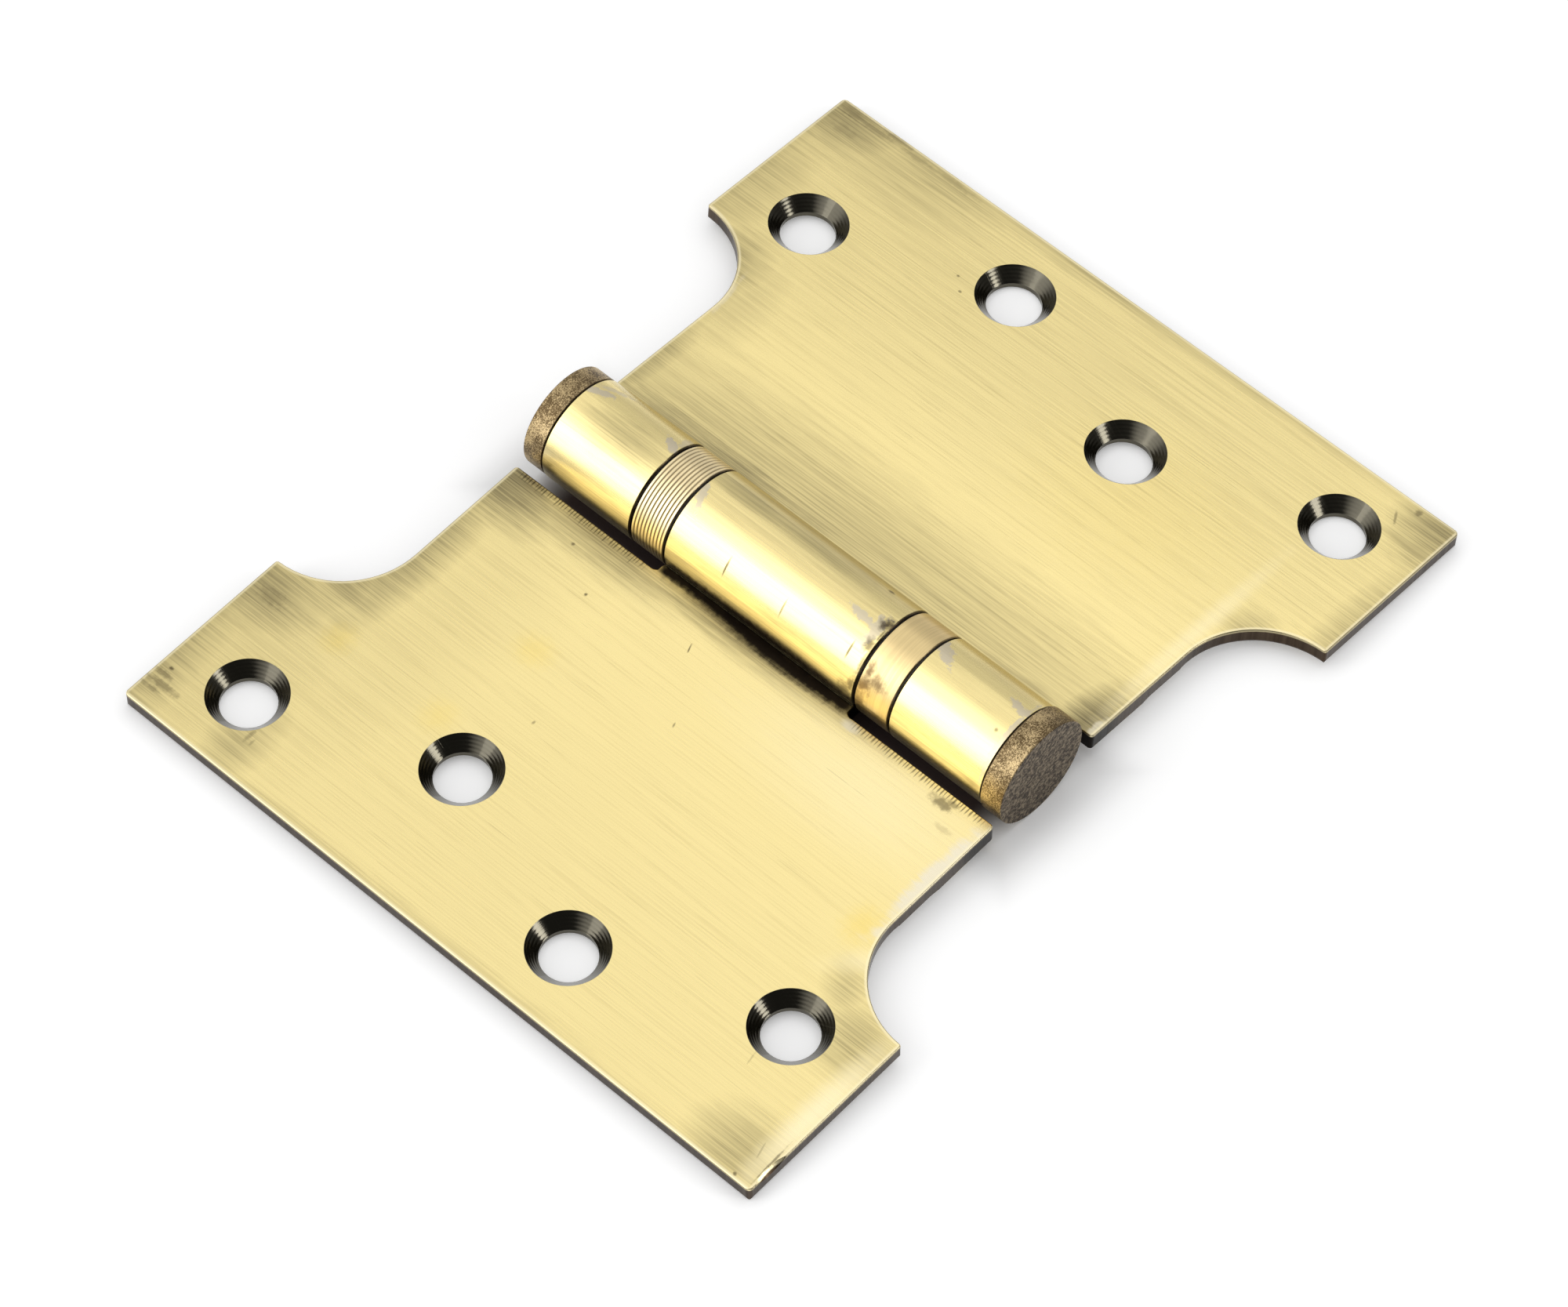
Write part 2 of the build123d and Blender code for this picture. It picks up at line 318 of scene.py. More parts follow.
# %% Group: brushed grain
def make_grain_group():
    outputs = ["Tone", "Lines", "Relief", "Streak", "Scratch"]
    tree, start, end = new_group("Brushed grain", {"Across": 0.0, "Along": 0.0}, outputs)
    across = start["Across"]
    along = start["Along"]
    fine = streaks(tree, across, along, 5.2, 0.03)
    middle = streaks(tree, across, along, 3.4, 0.045, 2.0)
    broad = streaks(tree, across, along, 0.8, 0.02, 3.0)
    deep = streaks(tree, across, along, 7.5, 0.03, 1.0)
    strokes = streaks(tree, across, along, 1.9, 0.17)
    gain = plus(tree, 0.45, times(tree, fade(tree, strokes, 0.35, 0.65), 0.75))
    fine_lines = times(tree, minus(tree, fine, 0.5), gain)
    middle_lines = times(tree, minus(tree, middle, 0.5), gain)
    both = plus(tree, 0.5, times(tree, fine_lines, 0.9), times(tree, middle_lines, 0.9))
    tone = fade(tree, both, 0.42, 0.85)
    lines = minus(tree, fade(tree, both, 0.34, 0.66), 0.5)
    scratch = times(tree, fade(tree, deep, 0.66, 0.76), fade(tree, strokes, 0.48, 0.60))
    values = (tone, lines, fine_lines, broad, scratch)
    for name, value in zip(outputs, values):
        tree.links.new(value, end[name])
    return tree


grain_group = make_grain_group()
print("group:", grain_group.name)

# %% [markdown]
# A mark is a soft spot with a ragged edge: a stain, a tarnished patch, a worn place or a nick.
# Each one has a centre, two directions of its own, a raggedness and a softness. One group
# draws any of them, and a finish lists its marks as plain numbers. The Shake that makes the
# edges ragged comes in from outside, so that all marks of one list share one noise.

# %% Group: mark
def make_mark_group():
    inputs = {"Spot": (0.0, 0.0, 0.0), "Centre": (0.0, 0.0, 0.0), "First": (1.0, 0.0, 0.0),
              "Second": (0.0, 1.0, 0.0), "Shake": 0.0, "Soft": 1.0}
    tree, start, end = new_group("Mark", inputs, ["Mask"])
    inputs = {0: start["Spot"], 1: start["Centre"]}
    gap = add_node(tree, "VectorMath", inputs, operation="SUBTRACT").outputs["Vector"]
    first = dot_product(tree, gap, start["First"])
    second = dot_product(tree, gap, start["Second"])
    square = plus(tree, times(tree, first, first), times(tree, second, second))
    reach = plus(tree, math_node(tree, "SQRT", square), start["Shake"])
    mask = fade(tree, reach, plus(tree, 1.0, start["Soft"]), minus(tree, 1.0, start["Soft"]))
    tree.links.new(mask, end["Mask"])
    return tree


mark_group = make_mark_group()


def marks(tree, spot, cloud, places, ragged=1.5, soft=1.0):
    """Strongest of several marks. Each is x, y, half x, half y, turn in degrees and strength."""
    shake = times(tree, cloud, ragged)
    strongest = None
    for x, y, half_x, half_y, turn, strength in places:
        cos = math.cos(math.radians(turn))
        sin = math.sin(math.radians(turn))
        mask = use_group(tree, mark_group, Spot=spot, Centre=(x, y, 0),
                         First=(cos / half_x, sin / half_x, 0),
                         Second=(-sin / half_y, cos / half_y, 0), Shake=shake, Soft=soft)["Mask"]
        mask = times(tree, mask, strength)
        strongest = mask if strongest is None else largest(tree, strongest, mask)
    return strongest


print("group:", mark_group.name)

# %% [markdown]
# Colours of the metal as they are on the object. Brass is what the brush laid bare, tarnish is
# the olive brown that it left in streaks, silver is where the plating under the finish shows,
# and black is the finish in the countersinks, in the crevices and on the sheared edges.

# %% Colours
BRASS = (0.895, 0.745, 0.345, 1)
DEEP_BRASS = (0.66, 0.53, 0.23, 1)
YELLOW = (0.90, 0.70, 0.22, 1)
# Pale colour of the painted highlights: the rims along the leaf edges and the pale patches.
PALE_HIGHLIGHT = (0.97, 0.86, 0.55, 1)
TARNISH = (0.185, 0.155, 0.085, 1)
EDGE_BROWN = (0.038, 0.024, 0.014, 1)
SINK_BLACK = (0.10, 0.092, 0.070, 1)
SILVER = (0.58, 0.52, 0.42, 1)
PALE_SILVER = (0.82, 0.75, 0.57, 1)
STAIN = (0.055, 0.038, 0.024, 1)
RUST = (0.13, 0.075, 0.035, 1)
BAND_BLACK = (0.016, 0.012, 0.009, 1)
EDGE_PATCH = (0.075, 0.052, 0.034, 1)
# Black of the painted shade on the sheared sides beside the barrel.
SIDE_SHADE_BLACK = (0.004, 0.003, 0.002, 1)
GROOVE_BROWN = (0.20, 0.125, 0.06, 1)
GROOVED_RING = (0.96, 0.80, 0.48, 1)
SMOOTH_RING = (0.76, 0.59, 0.295, 1)
CAP_SIDE_DARK = (0.105, 0.070, 0.034, 1)
CAP_SIDE_PALE = (0.58, 0.44, 0.235, 1)
CAP_FACE_DARK = (0.036, 0.025, 0.016, 1)
CAP_FACE_PALE = (0.275, 0.220, 0.150, 1)
print("brass reflects", BRASS[:3], "and tarnish", TARNISH[:3])

# %% [markdown]
# Where the marks are. They are read off the photograph, in millimetres on each leaf: across from
# the barrel's axis, along the barrel, half width, half length, turn and strength.

# %% Marks on the leaves
RIGHT_TARNISH_AND_SHADE = [
    (7.2, 22.0, 4.8, 22.0, 0, 0.98),
    (8.0, -8.0, 3.6, 16.0, 0, 0.65),
    (6.6, -9.0, 1.7, 33.0, 0, 0.90),
    (8.0, -26.0, 3.6, 12.0, 0, 0.60),
    (11.0, 4.0, 9.0, 46.0, 0, 0.47),
    (10.5, -37.2, 6.0, 3.2, 0, 0.95),
    # Faint and broad: painted shade over the outer half of the leaf, laid over real tarnish.
    (54.0, 6.0, 20.0, 66.0, 0, 0.19),
    (62.0, 37.0, 8.0, 17.0, 0, 0.34),
    (30.0, 37.0, 9.0, 4.0, 0, 0.25),
    (14.0, 38.6, 9.0, 2.4, 0, 0.55),
    (34.0, 44.0, 5.5, 5.5, 45, 0.62),
    (46.0, 50.5, 14.0, 6.0, 0, 0.42),
    (64.6, 49.0, 7.0, 8.5, 0, 0.72),
    (65.6, 33.0, 5.5, 11.0, 0, 0.50),
    (66.6, 5.0, 2.8, 48.0, 0, 0.50),
    (65.0, -50.0, 7.0, 5.5, 0, 0.75),
    (45.0, -51.5, 12.0, 3.2, 0, 0.45),
    (35.5, -42.3, 3.0, 3.0, 45, 0.45),
]
LEFT_TARNISH_AND_SHADE = [
    (-9.0, 38.0, 6.5, 7.5, 0, 0.95),
    (-8.8, 25.0, 3.6, 12.0, 0, 0.75),
    (-26.0, 39.0, 13.0, 3.4, 0, 0.62),
    (-35.0, 42.0, 4.0, 4.5, 45, 0.62),
    (-42.0, 49.0, 5.5, 7.0, 0, 0.72),
    (-57.0, 51.5, 12.0, 5.0, 0, 0.55),
    (-60.0, 36.0, 6.5, 3.4, 0, 0.46),
    (-41.6, -46.7, 4.2, 4.5, 0, 0.52),
    (-36.7, -41.0, 3.2, 2.2, 45, 0.40),
    (-61.6, -46.2, 5.0, 5.4, 0, 0.50),
    (-7.9, -1.0, 2.4, 17.0, 0, 0.95),
    (-65.4, 5.0, 2.0, 46.0, 0, 0.40),
    # The three faint broad patches below are painted shade over the far and outer parts of the leaf,
    # laid over real tarnish.
    (-45.0, 46.0, 30.0, 13.0, 0, 0.24),
    (-36.0, 31.0, 30.0, 9.0, 0, 0.14),
    (-57.0, -5.0, 24.0, 60.0, 0, 0.08),
]
RIGHT_STAINS = [
    (64.3, 48.3, 0.8, 1.5, 0, 0.26),
    (64.2, 44.0, 0.5, 2.6, 0, 0.22),
    (65.0, 41.2, 0.4, 2.2, 0, 0.36),
    (64.4, 37.4, 0.4, 2.8, 0, 0.26),
    (64.5, 31.0, 0.4, 3.0, 0, 0.24),
    (61.3, 47.5, 0.7, 1.8, 0, 0.16),
    (53.1, 20.5, 0.16, 0.20, 0, 0.60),
    (51.3, 18.6, 0.14, 0.18, 0, 0.55),
    (61.8, -43.8, 0.9, 0.16, 30, 0.45),
    (64.4, -45.5, 0.5, 0.4, 0, 0.50),
]
LEFT_STAINS = [
    (-60.5, 48.2, 0.45, 2.2, 0, 0.48),
    (-61.6, 49.2, 0.30, 1.3, 0, 0.42),
    (-59.2, 49.3, 0.35, 1.4, 0, 0.50),
    (-58.1, 49.2, 0.22, 0.30, 0, 0.75),
    (-58.5, 35.4, 1.0, 0.26, 0, 0.36),
    (-59.1, 34.5, 0.5, 0.16, 0, 0.30),
    (-42.6, 47.5, 1.0, 1.8, 0, 0.28),
    (-10.2, -32.3, 0.7, 1.4, 0, 0.62),
    (-9.5, -33.4, 0.4, 0.9, 0, 0.50),
    (-12.9, -34.8, 0.4, 1.2, 0, 0.20),
    (-14.1, 4.9, 0.5, 0.10, 20, 0.70),
    (-16.7, 19.6, 0.22, 0.22, 0, 0.75),
    (-12.3, 25.9, 0.20, 0.22, 0, 0.65),
    (-34.4, 11.5, 0.25, 0.16, 0, 0.45),
    (-23.4, -1.2, 0.35, 0.10, 20, 0.50),
    (-51.1, -39.2, 0.8, 0.10, 10, 0.28),
    (-59.4, -48.3, 1.0, 0.10, 15, 0.28),
    (-63.8, -48.2, 0.22, 0.22, 0, 0.70),
    (-60.2, -50.35, 2.8, 0.13, 2, 0.60),
]
RIGHT_SILVER = [
    (11.0, -38.6, 1.5, 0.5, 0, 0.6),
    (30.0, 39.0, 3.0, 0.4, 10, 0.4),
]
LEFT_SILVER = [
    (-18.6, -38.6, 8.0, 1.3, 0, 0.95),
    (-27.5, -39.8, 2.8, 1.0, -35, 0.75),
    (-9.2, -17.0, 0.7, 1.2, 0, 0.70),
]
# Painted highlights: pale patches where the flat looks brighter under the lamps.
RIGHT_HIGHLIGHT = [
    (30.0, -37.8, 12.0, 1.0, 0, 0.45),
]
LEFT_HIGHLIGHT = [
    (-52.5, -49.7, 9.0, 1.5, 0, 0.80),
    (-31.0, -42.0, 1.3, 5.5, 45, 0.45),
    (-15.0, -25.0, 6.0, 14.0, 0, 0.35),
]
RIGHT_YELLOW = [
    (40.0, -20.0, 9.0, 12.0, 0, 0.25),
]
LEFT_YELLOW = [
    (-41.5, 37.3, 1.8, 1.6, 0, 0.55),
    (-41.4, 20.6, 2.0, 1.8, 0, 0.45),
    (-26.9, 18.6, 1.8, 2.0, 0, 0.50),
    (-29.1, -36.7, 2.2, 1.8, 0, 0.70),
]
print("marks on the leaves:", len(RIGHT_TARNISH_AND_SHADE + RIGHT_STAINS + LEFT_TARNISH_AND_SHADE + LEFT_STAINS))

# %% [markdown]
# The barrel's marks are placed by angle in degrees and millimetres along the barrel. Silver shows
# in ragged patches beside the seams, a brown residue sits in the crevice before the near ring, and
# the centre knuckle has three short nicks round it.

# %% Marks on the barrel
BARREL_SILVER = [
    (13.0, 34.9, 9.0, 1.3, -12, 0.85),
    (30.0, 33.4, 9.0, 0.9, -12, 0.55),
    (14.0, 22.4, 8.5, 1.0, 8, 0.90),
    (30.0, 21.9, 12.0, 0.5, 0, 0.55),
    (-10.0, 14.7, 17.0, 0.55, 3, 0.80),
    (-30.0, 15.1, 14.0, 0.35, 0, 0.60),
    (-11.0, -11.4, 5.0, 1.9, 12, 0.80),
    (-14.0, -13.9, 16.0, 1.0, 0, 0.75),
    (12.0, -22.2, 12.0, 1.2, 6, 0.85),
    (10.0, -34.2, 7.0, 1.3, 10, 0.80),
    (-25.0, -35.3, 50.0, 0.34, 0, 0.75),
]
BARREL_STAINS = [
    (-101.0, 0.1, 7.0, 15.4, 0, 0.97),
    (-4.0, -14.6, 6.5, 0.80, 0, 0.92),
    (-17.0, -14.95, 9.0, 0.16, 0, 0.70),
    (-30.0, -14.6, 7.0, 0.60, 0, 0.70),
    (-46.0, -14.95, 12.0, 0.22, 0, 0.60),
    (-76.0, -14.8, 9.0, 0.55, 0, 0.75),
    (-86.0, -14.0, 8.0, 1.0, 0, 0.60),
    (36.6, -11.1, 2.2, 0.35, 0, 0.80),
    (-22.7, -33.9, 1.8, 0.22, 0, 0.60),
    (-91.0, 34.7, 7.0, 1.0, 0, 0.55),
]
BARREL_TARNISH = [
    (25.0, 10.0, 17.0, 6.0, 0, 0.50),
    (24.0, -2.0, 15.0, 8.0, 0, 0.46),
    (-12.0, 27.2, 21.0, 5.4, 0, 0.48),
    (58.0, 0.0, 16.0, 40.0, 0, 0.34),
    (69.0, 0.0, 10.0, 42.0, 0, 0.85),
    (40.0, 0.0, 24.0, 17.0, 0, 0.45),
    (42.0, -28.0, 18.0, 8.0, 0, 0.22),
    (30.0, 28.5, 9.0, 8.0, 0, 0.14),
    (2.0, -6.0, 13.0, 34.0, 0, 0.22),
    (-87.0, 0.0, 19.0, 42.0, 0, 0.70),
    (-104.0, 28.5, 20.0, 8.5, 0, 0.95),
    (-66.0, 29.0, 9.0, 5.0, 0, 0.22),
    (-108.0, -28.5, 15.0, 8.0, 0, 0.80),
]
BARREL_NICKS = [
    (-53.5, 6.62, 9.4, 0.10, 0, 0.78),
    (-52.8, -2.50, 8.8, 0.09, 0, 0.58),
    (-45.2, -12.75, 8.8, 0.10, 0, 0.78),
]
print("marks on the barrel:", len(BARREL_SILVER + BARREL_STAINS + BARREL_TARNISH + BARREL_NICKS))

# %% [markdown]
# The flat of a leaf is built in layers: bare brass, the tarnish that the brush left in streaks,
# with a few faint broad patches of painted shade among it, pale patches and thin pale rims along
# the edges, which are painted highlights and on the edges also the belt's polish, then single
# stains. Each layer is a colour mixed in by a mask, and the masks also roughen the metal or press
# it in.

# %% Finish of the flat of a leaf
FLAT_GRAIN = 0.26
ROUND_GRAIN = 0.34
STREAK_DEPTH = 0.24


def streaky(tree, amount, grain):
    """Tarnish amount broken up by the brush lines: strong places stay closed, weak ones feather."""
    reach = smallest(tree, times(tree, amount, 2.0), 1.0)
    return plus(tree, times(tree, amount, 0.90), times(tree, grain["Lines"], reach, STREAK_DEPTH))


def leaf_color(tree, places, grain, cloud, blotch, hinge_marks):
    """Colour of the flat, with how much of it is tarnish, painted shade or stain."""
    spot = places["Spot"]
    color = mix_colors(tree, times(tree, grain["Tone"], FLAT_GRAIN), BRASS, DEEP_BRASS)
    yellow = marks(tree, spot, blotch, hinge_marks["yellow"])
    color = mix_colors(tree, yellow, color, YELLOW)
    # This tarnish mask also carries the painted shade of the faint broad patches.
    tarnish = streaky(tree, marks(tree, spot, cloud, hinge_marks["tarnish"], 0.9), grain)
    tarnish = largest(tree, tarnish, 0.0)
    color = mix_colors(tree, tarnish, color, TARNISH)
    color = mix_colors(tree, times(tree, grain["Scratch"], 0.30), color, TARNISH)
    # Painted highlights from the lists of pale patches.
    painted_highlight = marks(tree, spot, cloud, hinge_marks["painted_highlight"], 0.8)
    color = mix_colors(tree, painted_highlight, color, PALE_HIGHLIGHT)
    silver = marks(tree, spot, cloud, hinge_marks["silver"], 2.0, 0.5)
    color = mix_colors(tree, silver, color, PALE_SILVER)
    # Painted highlight: a thin pale rim along every edge, which also stands for the belt's polish.
    edge_highlight = times(tree, fade(tree, places["Nearest"], 0.55, 0.25), 0.65)
    color = mix_colors(tree, edge_highlight, color, PALE_HIGHLIGHT)
    outline = times(tree, fade(tree, places["Nearest"], 0.16, 0.04), 0.55)
    color = mix_colors(tree, outline, color, EDGE_BROWN)
    stain = marks(tree, spot, blotch, hinge_marks["stains"], 2.4, 0.6)
    color = mix_colors(tree, stain, color, STAIN)
    return color, largest(tree, tarnish, stain)


print("flat finish ready")

# %% [markdown]
# The left leaf keeps a black band along the centre knuckle, where the belt could not reach into
# the corner. Its free inner edge shows the cutter: short dark ticks across the edge, half a
# millimetre apart. Both are worked out from the place on the leaf.

# %% Crevice and cutter ticks
BAND_FROM = 7.95
BAND_SWELL = 0.9
BAND_MIDDLE = -5.0
TICK_PITCH = 0.50
TICKS_FROM = 7.9
TICKS_MIDDLE = 27.5


def crevice(tree, places, grain, blotch):
    """Black band where the leaf meets its own knuckle."""
    along = places["Along"]
    inside = times(tree, fade(tree, along, 16.4, 14.8), fade(tree, along, -17.2, -14.6))
    belly = fade(tree, math_node(tree, "ABSOLUTE", minus(tree, along, BAND_MIDDLE)), 15.0, 0.0)
    limit = plus(tree, BAND_FROM, times(tree, belly, BAND_SWELL))
    limit = plus(tree, limit, times(tree, minus(tree, grain["Streak"], 0.5), 1.8))
    limit = plus(tree, limit, times(tree, blotch, 1.2))
    gap = minus(tree, places["Out"], limit)
    return times(tree, fade(tree, gap, 1.0, -0.35), inside)


def cutter_ticks(tree, places):
    """Ticks across the free inner edge of the left leaf."""
    along = places["Along"]
    wander = noise_value(tree, vector(tree, y=times(tree, along, 0.9)), 1.0, 2.0, 0.6)
    wander = times(tree, wander, 0.9)
    wave = math_node(tree, "SINE", times(tree, plus(tree, along, wander), 2 * math.pi / TICK_PITCH))
    length = noise_value(tree, vector(tree, y=times(tree, along, 2.6)), 1.0, 2.0, 0.6)
    limit = plus(tree, TICKS_FROM, times(tree, length, 2.8))
    near_edge = fade(tree, minus(tree, places["Out"], limit), 0.4, -0.3)
    from_middle = math_node(tree, "ABSOLUTE", minus(tree, places["Ends"], LEAF_HALF - TICKS_MIDDLE))
    beside = fade(tree, from_middle, 11.0, 9.5)
    return times(tree, fade(tree, wave, 0.1, 0.9), near_edge, beside)


print("crevice and ticks ready")

# %% [markdown]
# The knuckles are the same sheet rolled round, so they share the leaf's material. Their finish is
# drawn on the barrel's own measure: brushed along, duller over the top towards the right leaf,
# with silver patches and black lines at the seams.

# %% Finish of a knuckle
def knuckle_color(tree, barrel, grain, cloud, blotch):
    """Colour of the round, with how dark and how nicked it is."""
    spot = vector(tree, barrel["Angle"], barrel["Along"])
    color = mix_colors(tree, times(tree, grain["Tone"], ROUND_GRAIN), BRASS, DEEP_BRASS)
    tarnish = streaky(tree, marks(tree, spot, cloud, BARREL_TARNISH, 1.8), grain)
    color = mix_colors(tree, tarnish, color, TARNISH)
    # Painted shade: the round turns silver grey and darker low on the side towards the left leaf.
    low_side_shade = times(tree, fade(tree, barrel["Angle"], -60.0, -78.0), 0.28)
    color = mix_colors(tree, low_side_shade, color, SILVER)
    color = mix_colors(tree, times(tree, grain["Scratch"], 0.25), color, TARNISH)
    silver = marks(tree, spot, blotch, BARREL_SILVER, 3.2, 0.25)
    color = mix_colors(tree, times(tree, silver, 0.9), color, SILVER)
    stain = marks(tree, spot, blotch, BARREL_STAINS, 2.6, 0.8)
    color = mix_colors(tree, stain, color, STAIN)
    nick = marks(tree, spot, blotch, BARREL_NICKS, 0.6, 0.6)
    color = mix_colors(tree, nick, color, STAIN)
    return color, tarnish, largest(tree, stain, silver), nick


print("knuckle finish ready")

# %% [markdown]
# Now the whole leaf. The flat and the knuckles meet where the sheet bends into the round, so the
# mask between them is the distance from the barrel's axis. Sheared sides and the back keep the
# dark skin, and the countersinks are glossy black with fine turned rings.

# %% Material of a leaf
SINK_RING_PITCH = 0.34


def side_color(tree, place, grain, blotch):
    """Dark skin of the sheared sides and the back, with painted shade beside the barrel."""
    patchy = fade(tree, blotch, -0.15, 0.25)
    color = mix_colors(tree, patchy, EDGE_BROWN, EDGE_PATCH)
    # Painted shade: within a few millimetres of the barrel the sides go nearly black, as the knuckles
    # and caps shade them.
    barrel_side_shade = times(tree, fade(tree, place["Out"], 16.0, 12.0), 0.9)
    color = mix_colors(tree, barrel_side_shade, color, SIDE_SHADE_BLACK)
    back = fade(tree, place["Height"], LEAF_TOP - 2.35, LEAF_TOP - 2.45)
    back_streaks = times(tree, fade(tree, grain["Streak"], 0.46, 0.60), 0.35, back)
    return mix_colors(tree, back_streaks, color, DEEP_BRASS)


def leaf_relief(tree, grain, hole, sink, rolled_edge, pressed):
    """Height of the surface in millimetres: brush lines, turned rings, scratches and marks."""
    rings = math_node(tree, "SINE", times(tree, hole, 2 * math.pi / SINK_RING_PITCH))
    relief = times(tree, grain["Relief"], 0.006)
    relief = plus(tree, relief, times(tree, rings, sink, 0.0035))
    relief = minus(tree, relief, times(tree, grain["Scratch"], 0.003))
    return minus(tree, relief, pressed, times(tree, rolled_edge, 0.02))


def leaf_material(side, hinge_marks):
    """Brushed and tarnished brass for one leaf and its knuckles."""
    material, tree, shader = new_material(side + "_leaf_brass")
    place = use_group(tree, place_group, Droop=math.radians(DROOP[side]))
    across = place["Across"]
    along = place["Along"]
    outline = use_group(tree, outline_group, Out=place["Out"], Along=along, Width=WIDTH[side])
    turned_along = along if side == "right" else times(tree, along, -1.0)
    hole = use_group(tree, hole_group, Inset=outline["Inset"], Along=turned_along)["Distance"]
    spot = vector(tree, across, along)
    places = {"Along": along, "Out": place["Out"], "Spot": spot,
              "Ends": outline["Ends"], "Nearest": outline["Nearest"]}
    barrel = use_group(tree, barrel_group)
    on_barrel = fade(tree, barrel["Radius"], 7.36, 7.24)

    off_barrel = minus(tree, 1.0, on_barrel)
    run = plus(tree, times(tree, across, off_barrel), times(tree, barrel["Arc"], on_barrel))
    grain = use_group(tree, grain_group, Across=run, Along=along)
    cloud = minus(tree, streaks(tree, run, along, 0.9, 0.14, 4.0), 0.5)
    blotch = minus(tree, noise_value(tree, vector(tree, run, along), 1.1, 4.0, 0.65), 0.5)

    flat, dull = leaf_color(tree, places, grain, cloud, blotch, hinge_marks)
    top = fade(tree, place["Height"], LEAF_TOP - 0.42, LEAF_TOP - 0.22)
    flat = mix_colors(tree, top, side_color(tree, place, grain, blotch), flat)
    if side == "left":
        ticks = times(tree, cutter_ticks(tree, places), 0.66)
        flat = mix_colors(tree, times(tree, ticks, top), flat, BAND_BLACK)
        black = crevice(tree, places, grain, blotch)
        flat = mix_colors(tree, times(tree, black, top), flat, BAND_BLACK)
        dull = largest(tree, dull, black)
    sink = fade(tree, hole, SINK_R + 0.05, SINK_R - 0.03)
    flat = mix_colors(tree, sink, flat, SINK_BLACK)

    round_part, round_dull, patches, nick = knuckle_color(tree, barrel, grain, cloud, blotch)
    seam = fade(tree, nearest_gap(tree, along, SEAMS), 0.25, 0.12)
    round_part = mix_colors(tree, times(tree, seam, 0.93), round_part, STAIN)
    inside = fade(tree, barrel["Radius"], 7.08, 6.98)
    round_part = mix_colors(tree, inside, round_part, EDGE_BROWN)
    color = mix_colors(tree, on_barrel, flat, round_part)

    rough = plus(tree, 0.25, times(tree, grain["Tone"], 0.08))
    round_dull = times(tree, largest(tree, round_dull, patches), on_barrel)
    dull = plus(tree, times(tree, dull, off_barrel), round_dull)
    rough = plus(tree, rough, times(tree, dull, 0.14))
    rough = minus(tree, rough, times(tree, sink, 0.12))

    rolled_edge = times(tree, fade(tree, outline["Nearest"], 1.6, 0.0), off_barrel)
    pressed = plus(tree, times(tree, nick, 0.03), times(tree, patches, 0.006))
    relief = leaf_relief(tree, grain, hole, sink, rolled_edge, times(tree, pressed, on_barrel))
    finish_shader(tree, shader, color, rough, relief)
    return material


right_finish = leaf_material("right", {"tarnish": RIGHT_TARNISH_AND_SHADE, "stains": RIGHT_STAINS,
                                       "silver": RIGHT_SILVER, "yellow": RIGHT_YELLOW,
                                       "painted_highlight": RIGHT_HIGHLIGHT})
left_finish = leaf_material("left", {"tarnish": LEFT_TARNISH_AND_SHADE, "stains": LEFT_STAINS,
                                     "silver": LEFT_SILVER, "yellow": LEFT_YELLOW,
                                     "painted_highlight": LEFT_HIGHLIGHT})
print("leaf materials:", right_finish.name, left_finish.name)

# %% [markdown]
# The bearing rings were turned, so their fine lines run round the barrel. The far ring has nine
# real grooves cut in it, and brown has stayed in them. The near ring is smooth and carries a
# brown stain where it meets the centre knuckle.

# %% Material of a bearing ring
RING_STAINS = [
    (-50.0, -16.4, 9.0, 0.45, 0, 0.80),
    (-57.0, -18.0, 6.0, 1.1, 0, 0.70),
    (-66.0, -16.4, 8.0, 0.9, 0, 0.80),
    (-86.0, -16.1, 10.0, 0.7, 0, 0.70),
]


def ring_material(name, color, brown):
    """Turned brass ring. brown is how much dark is left in its grooves."""
    material, tree, shader = new_material(name)
    barrel = use_group(tree, barrel_group)
    arc = barrel["Arc"]
    along = barrel["Along"]
    turned = streaks(tree, along, arc, 6.0, 0.10, 3.0)
    brushed = streaks(tree, along, arc, 2.2, 0.03, 2.0)
    blotch = minus(tree, noise_value(tree, vector(tree, arc, along), 1.1, 4.0, 0.65), 0.5)
    dark = tuple(c * 0.55 for c in color[:3]) + (1,)
    tone = fade(tree, plus(tree, times(tree, turned, 0.5), times(tree, brushed, 0.5)), 0.34, 0.66)
    shade = mix_colors(tree, times(tree, tone, 0.35), color, dark)
    groove = fade(tree, barrel["Radius"], BARREL_R - 0.062, BARREL_R - 0.10)
    shade = mix_colors(tree, times(tree, groove, brown), shade, GROOVE_BROWN)
    stain = marks(tree, vector(tree, barrel["Angle"], along), blotch, RING_STAINS, 2.8, 0.85)
    shade = mix_colors(tree, stain, shade, RUST)
    # Painted shade: the ring goes rust brown low on the side towards the left leaf.
    low_ring_shade = times(tree, fade(tree, barrel["Angle"], -56.0, -74.0), 0.24)
    shade = mix_colors(tree, low_ring_shade, shade, RUST)
    ends = fade(tree, nearest_gap(tree, along, SEAMS), 0.40, 0.25)
    shade = mix_colors(tree, times(tree, ends, 0.75), shade, STAIN)
    rough = plus(tree, 0.30, times(tree, tone, 0.10), times(tree, stain, 0.12))
    relief = plus(tree, times(tree, turned, 0.010), times(tree, blotch, 0.004))
    finish_shader(tree, shader, shade, rough, relief)
    return material


